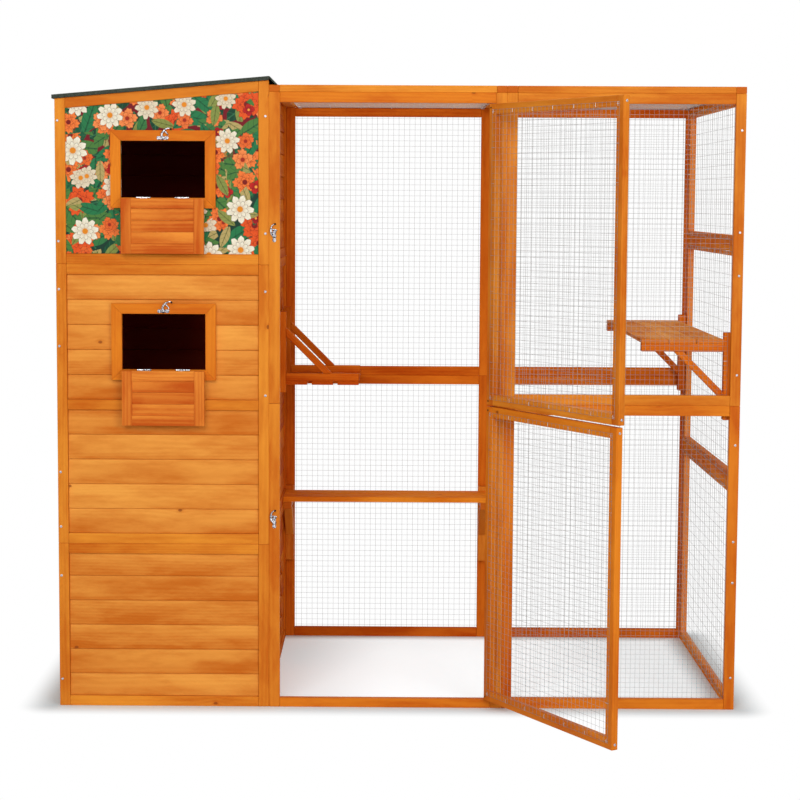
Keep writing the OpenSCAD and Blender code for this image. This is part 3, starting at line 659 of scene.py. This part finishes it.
def leaves(tree, under, place, pitch, length, width, colours, rarity):
    """Pointed leaves with a middle vein and ribs."""
    away, chance = cells(tree, place, (1 / pitch, 1 / pitch, 0), 0.8)
    x, y = turned(tree, away, chance)
    x, y = x * (pitch / length), (y * (pitch / width)).math("ABSOLUTE")
    red, _, blue = parts_of(tree, chance)
    body = (y - ((x * x * -1.0) + 1.0)).rise(0.04, -0.02) * red.rise(rarity, rarity + 0.01)
    vein = y.rise(0.14, 0.05)
    ribs = ((x * 16.0) - (y * 5.0)).math("SINE").rise(0.78, 1.0) * 0.4
    green = mix(tree, blue.rise(0.3, 0.7), colours[0], colours[1])
    green = mix(tree, (vein * 0.7 + ribs).math("MINIMUM", 1.0), green, colours[2])
    return mix(tree, body, under, green)


print("motifs ready")

# %% [markdown]
# A print is layers of ink. The ground is a deep green that turns to wine red towards the
# top, and over it come dark leaves, then large orange blossoms, then small ones, and
# last the pale flowers that lie over all. Each layer is moved by its own amount, so no
# two layers line up.

# %% Printed board
PRINT_EASE = 0.0006


def printed_board():
    material, tree, surface = new_material("leaf and blossom print", 0.5, specular=0.15)
    place, _ = attribute(tree, "grain")
    dark = (srgb(10, 58, 38), srgb(20, 80, 50), srgb(52, 110, 72))
    mid = (srgb(34, 112, 66), srgb(72, 118, 54), srgb(16, 60, 38))
    olive = (srgb(128, 138, 66), srgb(178, 156, 96), srgb(78, 84, 36))
    orange = (srgb(226, 84, 28), srgb(240, 124, 54), srgb(180, 44, 14), srgb(92, 16, 10))
    peach = (srgb(240, 140, 74), srgb(228, 104, 42), srgb(196, 64, 22), srgb(110, 30, 14))
    red = (srgb(196, 32, 26), srgb(166, 22, 30), srgb(112, 10, 18), srgb(70, 6, 12))
    cream = (srgb(238, 230, 208), srgb(224, 208, 180), srgb(190, 158, 122), srgb(96, 74, 56))
    height = parts_of(tree, place)[1]
    patch = noise(tree, place, (9, 9, 0), 2.0)
    wine = (patch - (height * 2.6)).rise(0.60, 0.66)
    picture = mix(tree, wine, srgb(18, 52, 38), srgb(112, 14, 26))
    layers = (
        (leaves, 0.055, 0.044, 0.018, dark, 0.10),
        (leaves, 0.048, 0.036, 0.013, olive, 0.45),
        (leaves, 0.060, 0.048, 0.021, mid, 0.30),
        (blossoms, 0.100, 0.037, 5, orange, srgb(120, 24, 18), 0.12, (1.0, 0.72, 0.42), 0.07),
        (leaves, 0.062, 0.042, 0.016, mid, 0.56),
        (blossoms, 0.078, 0.026, 5, peach, srgb(150, 40, 20), 0.34, (1.0, 0.62), 0.05),
        (blossoms, 0.080, 0.017, 4, red, srgb(236, 150, 60), 0.50, (1.0,), 0.05),
        (leaves, 0.070, 0.036, 0.013, olive, 0.66),
        (blossoms, 0.112, 0.036, 9, cream, srgb(222, 132, 30), 0.10, (1.0, 0.60), 0.02),
    )
    for step, (draw, pitch, *rest) in enumerate(layers):
        moved = vector_math(tree, "ADD", place, (0.37 + 0.83 * step, 0.21 + 0.47 * step, 0))
        picture = draw(tree, picture, moved, pitch, *rest)
    tree.links.new(picture, surface.inputs["Base Color"])
    bump(tree, surface, noise(tree, place, (900, 900, 900), 2.0), 0.0001, 0.3)
    return material


dress("print_board", printed_board(), PRINT_EASE)
print("printed board")

# %% [markdown]
# Wire and staples are straight bars. A bar is two rings of points joined by faces, closed at
# both ends. To know where the bars go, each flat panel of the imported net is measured: the
# direction in which most of its faces look is the way out of it.

# %% Bars and flat panels
def rod(shape, start, end, radius, sides=5):
    """A straight bar between two points, closed at both ends."""
    axis = (end - start).normalized()
    side = axis.orthogonal().normalized()
    other = axis.cross(side)
    rings = []
    for centre in (start, end):
        rings.append([shape.verts.new(centre + radius * (math.cos(t) * side + math.sin(t) * other))
                      for t in (2 * math.pi * k / sides for k in range(sides))])
    for k in range(sides):
        n = (k + 1) % sides
        shape.faces.new((rings[0][k], rings[0][n], rings[1][n], rings[1][k]))
    shape.faces.new(list(reversed(rings[0])))
    shape.faces.new(rings[1])


def panel_axes(group):
    """Side, up and out directions of a flat panel, with its limits along each."""
    spread = {}
    for vert in group:
        for face in vert.link_faces:
            n = face.normal
            key = max((abs(round(n[k], 2)), k) for k in range(3))[1]
            normal = -n if n[key] < 0 else n
            mark = tuple(round(v, 2) for v in normal)
            area, _ = spread.get(mark, (0.0, None))
            spread[mark] = (area + face.calc_area(), normal.copy())
    out = max(spread.values(), key=lambda item: round(item[0], 6))[1]
    rise = Vector((0, 0, 1)) if abs(out.z) < 0.5 else Vector((0, 1, 0))
    side = rise.cross(out).normalized()
    limits = []
    for axis in (side, rise, out):
        heights = [v.co.dot(axis) for v in group]
        limits.append((min(heights), max(heights)))
    return (side, rise, out), limits


print("bars and panels ready")

# %% [markdown]
# Welded wire is two layers of straight galvanised strands, spot welded where they cross.
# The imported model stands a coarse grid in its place. Each of its flat panels is filled here
# with strands at the real pitch: finest in the front bay, widest at the side.

# %% Galvanised wire
WIRE_RADIUS = 0.00033
RADIUS = {"side_mesh": 0.00042, "roof_mesh": 0.00029, "back_mesh": 0.00038}
PITCH = {"front_mesh": 0.0142, "upper_door_mesh": 0.0180, "lower_door_mesh": 0.0180,
         "side_mesh": 0.0355}
USUAL_PITCH = 0.0183
SELVEDGE = 0.001
LAYER_SHARE = 0.9


def galvanised(name, tint, roughness):
    """Zinc in crystals a few millimetres wide, some paler than others."""
    material, tree, surface = new_material(name, roughness, metallic=0.65)
    coordinates = tree.nodes.new("ShaderNodeTexCoord").outputs["Object"]
    spangle = noise(tree, coordinates, (160, 160, 160), 2.0)
    dull = tuple(0.72 * c for c in tint[:3]) + (1,)
    tree.links.new(mix(tree, spangle, tint, dull), surface.inputs["Base Color"])
    bump(tree, surface, spangle, 0.0001, 0.5)
    return material


wire_finish = galvanised("galvanised wire", srgb(172, 172, 170), 0.45)
panels = {}
strands = 0
for node_name in [n for n, finish in slot_of.items() if finish == "wire"]:
    source = copy_of(node_name)
    shape = bmesh.new()
    panels[node_name] = []
    pitch = PITCH.get(node_name, USUAL_PITCH)
    radius = RADIUS.get(node_name, WIRE_RADIUS)
    for group in solids_in(source):
        panel = panel_axes(group)
        panels[node_name].append(panel)
        (side, rise, out), ((s0, s1), (r0, r1), (o0, o1)) = panel
        for first, second, (a0, a1), (b0, b1), layer in (
                (side, rise, (s0, s1), (r0, r1), -LAYER_SHARE),
                (rise, side, (r0, r1), (s0, s1), LAYER_SHARE)):
            span = a1 - a0 - 2 * SELVEDGE
            count = round(span / pitch)
            for k in range(count + 1):
                at = first * (a0 + SELVEDGE + k * span / count)
                at = at + out * ((o0 + o1) / 2 + radius * layer)
                rod(shape, at + second * b0, at + second * b1, radius)
            strands += count + 1
    source.free()
    item = mesh_object(node_name + "_wire", shape, wire_finish)
    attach(item, body_with[node_name])
    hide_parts(node_name)
print("wire strands", strands)

# %% [markdown]
# The wire is stapled to the frames. A staple is a crown with two legs, and one sits
# about every hand's width round each panel, square to the edge so that it grips a strand.

# %% Staples
STAPLE_EVERY = 0.105
STAPLE_INSET = 0.006
STAPLE_RADIUS = 0.0006
CROWN_HALF = 0.005
CROWN_LIFT = 0.0004
LEG = 0.0023
staple_finish = galvanised("staple wire", srgb(206, 206, 204), 0.35)
# The timber on which each wall's wire is stapled tells which side of it the wire lies
backed_by = {"front_mesh": "front_upper_frame", "back_mesh": "back_left_upper_frame",
             "side_mesh": "side_middle_frame", "roof_mesh": "roof_left_frame",
             "upper_door_mesh": "upper_door_frame", "lower_door_mesh": "lower_door_frame"}
staples = 0
for node_name, frames in panels.items():
    shape = bmesh.new()
    low, high = (Vector(v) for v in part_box(backed_by[node_name]))
    timber_middle = (low + high) / 2
    for (side, rise, out), ((s0, s1), (r0, r1), (o0, o1)) in frames:
        outward = 1 if (o0 + o1) / 2 > timber_middle.dot(out) else -1
        face = out * (o1 if outward > 0 else o0)
        lift = out * outward * CROWN_LIFT
        for first, second, (a0, a1), (b0, b1) in ((side, rise, (s0, s1), (r0, r1)),
                                                  (rise, side, (r0, r1), (s0, s1))):
            count = max(2, round((a1 - a0) / STAPLE_EVERY))
            for k in range(count + 1):
                a = a0 + STAPLE_INSET + k * (a1 - a0 - 2 * STAPLE_INSET) / count
                for b in (b0 + STAPLE_INSET, b1 - STAPLE_INSET):
                    middle = first * a + second * b + face + lift
                    ends = [middle - second * CROWN_HALF, middle + second * CROWN_HALF]
                    rod(shape, ends[0], ends[1], STAPLE_RADIUS, 4)
                    for end in ends:
                        rod(shape, end, end - out * outward * LEG, STAPLE_RADIUS, 4)
                    staples += 1
    item = mesh_object(node_name + "_staples", shape, staple_finish)
    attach(item, body_with[node_name])
print("staples", staples)

# %% [markdown]
# Roofing felt is a dark sheet strewn with mineral grains. Its folds and edges follow
# the boarding, so the model's solid keeps its shape and takes a gritty finish.

# %% Mineral felt
GRAINS = (620, 620, 620)


def mineral_felt():
    material, tree, surface = new_material("mineral felt", 0.95, specular=0.15)
    coordinates = tree.nodes.new("ShaderNodeTexCoord").outputs["Object"]
    grit = noise(tree, coordinates, GRAINS, 3.0, 0.8)
    patch = noise(tree, coordinates, (9, 9, 9), 3.0)
    shade = (grit.rise(0.36, 0.72) * 0.75) + (patch * 0.25)
    grey = mix(tree, shade, srgb(28, 33, 28), srgb(94, 100, 88))
    tree.links.new(grey, surface.inputs["Base Color"])
    bump(tree, surface, grit, 0.0012)
    return material


def finish_node(name, material):
    for entry in nodes[name].material_slots:
        entry.material = material


finish_node("roof_felt", mineral_felt())
print("felt")

# %% [markdown]
# Screws, hinges and latches are nickel plated steel: bright, a little soft, and
# clouded by handling, with dark patches that are also painted dark reflection. A turned
# part is a profile spun round an axis; a screw is one with a cross pressed into its crown,
# so every fourth point of its inner ring reaches further.

# %% Plated steel and screws
def plated(name, bright, dull, roughness, scale):
    material, tree, surface = new_material(name, roughness, metallic=0.9)
    coordinates = tree.nodes.new("ShaderNodeTexCoord").outputs["Object"]
    cloud_and_reflection = noise(tree, coordinates, (scale, scale, scale), 2.0)
    # The dark patches are partly clouding and partly painted reflection.
    tree.links.new(mix(tree, cloud_and_reflection.rise(0.42, 0.58), bright, dull), surface.inputs["Base Color"])
    bump(tree, surface, cloud_and_reflection, 0.0003, 0.4)
    return material


def spun(shape, base, axis, profile, sides=16, first=None, star=None):
    """Rings at (radius, height) up an axis; star holds factors for the last two rings."""
    side = axis.orthogonal().normalized() if first is None else first
    other = axis.cross(side)
    previous = None
    for number, (radius, height) in enumerate(profile):
        ring = []
        for k in range(sides):
            factor = star[k % len(star)] if star and number >= len(profile) - 2 else 1.0
            t = 2 * math.pi * k / sides
            spoke = math.cos(t) * side + math.sin(t) * other
            ring.append(shape.verts.new(base + axis * height + radius * factor * spoke))
        if previous is None:
            shape.faces.new(list(reversed(ring)))
        else:
            for k in range(sides):
                n = (k + 1) % sides
                shape.faces.new((previous[k], previous[n], ring[n], ring[k]))
        previous = ring
    shape.faces.new(previous)


CROSS = (1.0, 0.36, 0.30, 0.36)
CROWN = ((1, 0), (1, 0.25), (0.93, 0.62), (0.74, 0.90), (0.58, 1), (0.54, 1), (0.44, 0.35))


def screw(shape, base, axis, radius=0.0038, height=0.0019):
    """A cross head, turned by a random angle that its place decides."""
    turn = random.Random(repr([round(v, 3) for v in base])).uniform(0, math.pi)
    side = axis.orthogonal().normalized()
    side = (side * math.cos(turn) + axis.cross(side) * math.sin(turn)).normalized()
    profile = [(radius * r, height * h) for r, h in CROWN]
    spun(shape, base, axis, profile, first=side, star=CROSS)


def screws_of(name, largest=0.009):
    """Foot and direction of every screw among a node's solids."""
    source = copy_of(name)
    found = []
    for group in solids_in(source):
        spread = [max(v.co[k] for v in group) - min(v.co[k] for v in group) for k in range(3)]
        if max(spread) < largest:
            faces = (f for v in group for f in v.link_faces)
            foot = max(faces, key=lambda f: round(f.calc_area(), 8))
            found.append((foot.calc_center_bounds(), -foot.normal))
    source.free()
    return found


nickel = plated("nickel plate", srgb(210, 210, 214), srgb(58, 58, 66), 0.24, 330)
bright_zinc = plated("screw heads", srgb(212, 210, 216), srgb(140, 138, 150), 0.34, 500)
dark_screw = plated("black screws", srgb(70, 40, 30), srgb(30, 16, 12), 0.5, 400)
for node_name, finish in slot_of.items():
    if finish == "chrome":
        finish_node(node_name, nickel)
heads = 0
for node_name in ("frame_screws", "upper_door_hardware", "lower_door_hardware"):
    shape = bmesh.new()
    for base, axis in screws_of(node_name):
        screw(shape, base, axis.normalized())
        heads += 1
    item = mesh_object(node_name + "_heads", shape, bright_zinc)
    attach(item, body_with[node_name])
    if node_name == "frame_screws":
        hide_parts(node_name)
print("screw heads", heads)

# %% [markdown]
# Each door has a dark screw near both ends of its hinge stile, driven from the inner
# face. Their places follow from the hinge line, the door's angle and the member's width.

# %% Screws in the doors' hinge stiles
FROM_HINGE = 0.0095
OUT_OF_HINGE = 0.0232
FROM_END = 0.011
DARK_SCREW_SIZE = (0.0027, 0.0008)
joints = {j["child"]: j for j in frame["joints"]}
dark_heads = 0
for body in ("upper_door", "lower_door"):
    node_name = body + "_frame"
    low, high = (Vector(v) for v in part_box(node_name))
    pivot = Vector(joints[body]["pos_m"])
    opened = math.radians(-joints[body]["range_deg"][0])
    along = Vector((-math.cos(opened), -math.sin(opened), 0))
    facing = Vector((-math.sin(opened), math.cos(opened), 0))
    shape = bmesh.new()
    for height in (low.z + FROM_END, high.z - FROM_END):
        foot = pivot + along * FROM_HINGE + facing * OUT_OF_HINGE
        screw(shape, Vector((foot.x, foot.y, height)), facing, *DARK_SCREW_SIZE)
        dark_heads += 1
    item = mesh_object(node_name + "_dark_screws", shape, dark_screw)
    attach(item, body)
print("dark screws", dark_heads)

# %% [markdown]
# Cast metal has no straight lines: its bars swell, bend and taper. Such a bar is drawn here
# along a smooth curve through a few points, each with its own radius, by a ring of
# points square to the curve at each step. A ball is a profile spun round an axis.

# %% Curved bars and balls
def curve_through(points, steps=7):
    """Points on a smooth curve through the given ones, with a value at each."""
    ends = [points[0]] + list(points) + [points[-1]]
    out = []
    for i in range(len(points) - 1):
        a, b, c, d = (Vector(p) for p in ends[i:i + 4])
        for k in range(steps):
            t = k / steps
            out.append(0.5 * ((2 * b) + (c - a) * t + (2 * a - 5 * b + 4 * c - d) * t ** 2
                              + (3 * b - a - 3 * c + d) * t ** 3))
    return out + [Vector(points[-1])]


def swept(shape, place, points, sides=10):
    """A tube along points (right, up, radius); place turns them into the scene's axes."""
    path = curve_through(points)
    previous = None
    for number, point in enumerate(path):
        before, after = path[max(0, number - 1)], path[min(len(path) - 1, number + 1)]
        heading = Vector((after.x - before.x, after.y - before.y)).normalized()
        ring = []
        for k in range(sides):
            t = 2 * math.pi * k / sides
            r, lift = point.z * math.cos(t), point.z * 0.8 * math.sin(t)
            spot = place(point.x - heading.y * r, point.y + heading.x * r, lift)
            ring.append(shape.verts.new(spot))
        if previous is None:
            shape.faces.new(ring)
        else:
            for k in range(sides):
                n = (k + 1) % sides
                shape.faces.new((previous[n], previous[k], ring[k], ring[n]))
        previous = ring
    shape.faces.new(list(reversed(previous)))


def ball(shape, centre, axis, radius, rings=6):
    """A sphere with small flats at its poles."""
    profile = [(radius * math.cos(a), radius * math.sin(a))
               for a in (math.pi * (k / rings - 0.5) * 0.94 for k in range(rings + 1))]
    spun(shape, centre, axis, profile, sides=12)


def smooth(item):
    for polygon in item.data.polygons:
        polygon.use_smooth = True


print("curved bars ready")

# %% [markdown]
# A hook latch has a pressed plate with a swell at each screw and at the pivot, and a cast
# lever that sweeps out to the left, comes back over the pivot and ends in a ball. When it
# is turned over its stud, the stud lies inside the sweep, past a small horn. All lengths
# are read from the pivot, in metres, and each point of the lever ends with its radius.

# %% Shape of a hook latch
PLATE_HALF = 0.0172
WAIST = 0.0040
SWELLS = ((0.0062, 0.0), (0.0056, -0.0116), (0.0056, 0.0116))
PLATE_SCREW = 0.0116
PLATE_SCREW_SIZE = (0.0031, 0.0013)
FACE_BEHIND_PIVOT = 0.0038
LEVER_OFF_FACE = 0.0052
PLATE_LEVELS = ((1.0, 0.0), (1.0, 0.0010), (0.93, 0.0016))
PLATE_TOP = 0.0015
BOSS = ((0.0048, 0), (0.0048, 0.0007), (0.0040, 0.0012))
SWEEP = ((0.001, -0.001, 0.0030), (-0.0055, 0.0035, 0.0033), (-0.0095, 0.0110, 0.0030),
         (-0.0098, 0.0200, 0.0026), (-0.0072, 0.0285, 0.0020), (-0.0025, 0.0338, 0.0017),
         (0.0010, 0.0349, 0.0014))
HORN = ((-0.0080, 0.0190, 0.0016), (-0.0020, 0.0192, 0.0020), (0.0040, 0.0182, 0.0019),
        (0.0086, 0.0162, 0.0011))
HUB = ((0.0054, 0), (0.0054, 0.0020), (0.0046, 0.0034), (0.0022, 0.0042))
HUB_FOOT = -0.0024
BALL_AT = (0.0022, 0.0352)
BALL_RADIUS = 0.0031


def plate_outline():
    """Half height of the plate at each place along it: a swell at the pivot and each screw."""
    out = []
    for k in range(25):
        x = PLATE_HALF * math.sin(math.pi * (k / 24 - 0.5))
        swell = [max(0.0, r * r - (x - c) ** 2) ** 0.5 for r, c in SWELLS]
        waist = WAIST if abs(x) < PLATE_SCREW else 0.0
        out.append((x, max(swell + [waist, 0.0002])))
    return out


print("latch shape ready")

# %% [markdown]
# The windows' latches lie level with their levers leaning to the right. The doors' latches
# stand upright on the post. All plates are one piece, since they never move, and each
# lever rides on its own pivot.

# %% Four hook latches
WINDOW_LEAN = math.radians(40)
plates = bmesh.new()
plate_screws = bmesh.new()
front = Vector((0, -1, 0))
outline = plate_outline()
rim = outline + [(x, -h) for x, h in reversed(outline)]
for node_name in ("upper_window_hook", "middle_window_hook", "upper_door_hook", "lower_door_hook"):
    on_window = "window" in node_name
    lean = WINDOW_LEAN if on_window else 0.0
    pivot = Vector(joints[body_with[node_name]]["pos_m"])
    face_y = pivot.y + FACE_BEHIND_PIVOT

    def on_plate(x, z, out_of_face):
        if not on_window:
            x, z = z, x
        return Vector((pivot.x + x, face_y - out_of_face, pivot.z + z))

    def on_lever(x, z, out_of_face):
        c, s = math.cos(lean), math.sin(lean)
        return Vector((pivot.x + x * c + z * s, face_y - LEVER_OFF_FACE - out_of_face,
                       pivot.z + z * c - x * s))

    levels = []
    for scale, height in PLATE_LEVELS:
        levels.append([plates.verts.new(on_plate(x * scale, z * scale, height)) for x, z in rim])
    for low_ring, high_ring in zip(levels, levels[1:]):
        for k in range(len(rim)):
            n = (k + 1) % len(rim)
            plates.faces.new((low_ring[k], low_ring[n], high_ring[n], high_ring[k]))
    plates.faces.new(levels[0])
    plates.faces.new(levels[-1])
    spun(plates, on_plate(0, 0, PLATE_TOP), front, BOSS)
    for x in (-PLATE_SCREW, PLATE_SCREW):
        screw(plate_screws, on_plate(x, 0, PLATE_TOP), front, *PLATE_SCREW_SIZE)

    lever = bmesh.new()
    swept(lever, on_lever, SWEEP)
    swept(lever, on_lever, HORN)
    spun(lever, on_lever(0, 0, HUB_FOOT), front, HUB)
    metal_faces = len(lever.faces)
    ball(lever, on_lever(*BALL_AT, 0), front, BALL_RADIUS)
    item = mesh_object(node_name + "_lever", lever, nickel)
    item.data.materials.append(dark_screw)
    for polygon in item.data.polygons:
        polygon.material_index = int(polygon.index >= metal_faces)
    smooth(item)
    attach(item, body_with[node_name])
    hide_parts(node_name)
bmesh.ops.recalc_face_normals(plates, faces=plates.faces)
item = mesh_object("latch_plates", plates, nickel)
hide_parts("hook_plates")
second = mesh_object("latch_plate_screws", plate_screws, bright_zinc)
for piece in (item, second):
    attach(piece, body_with["hook_plates"])
print("four latches")
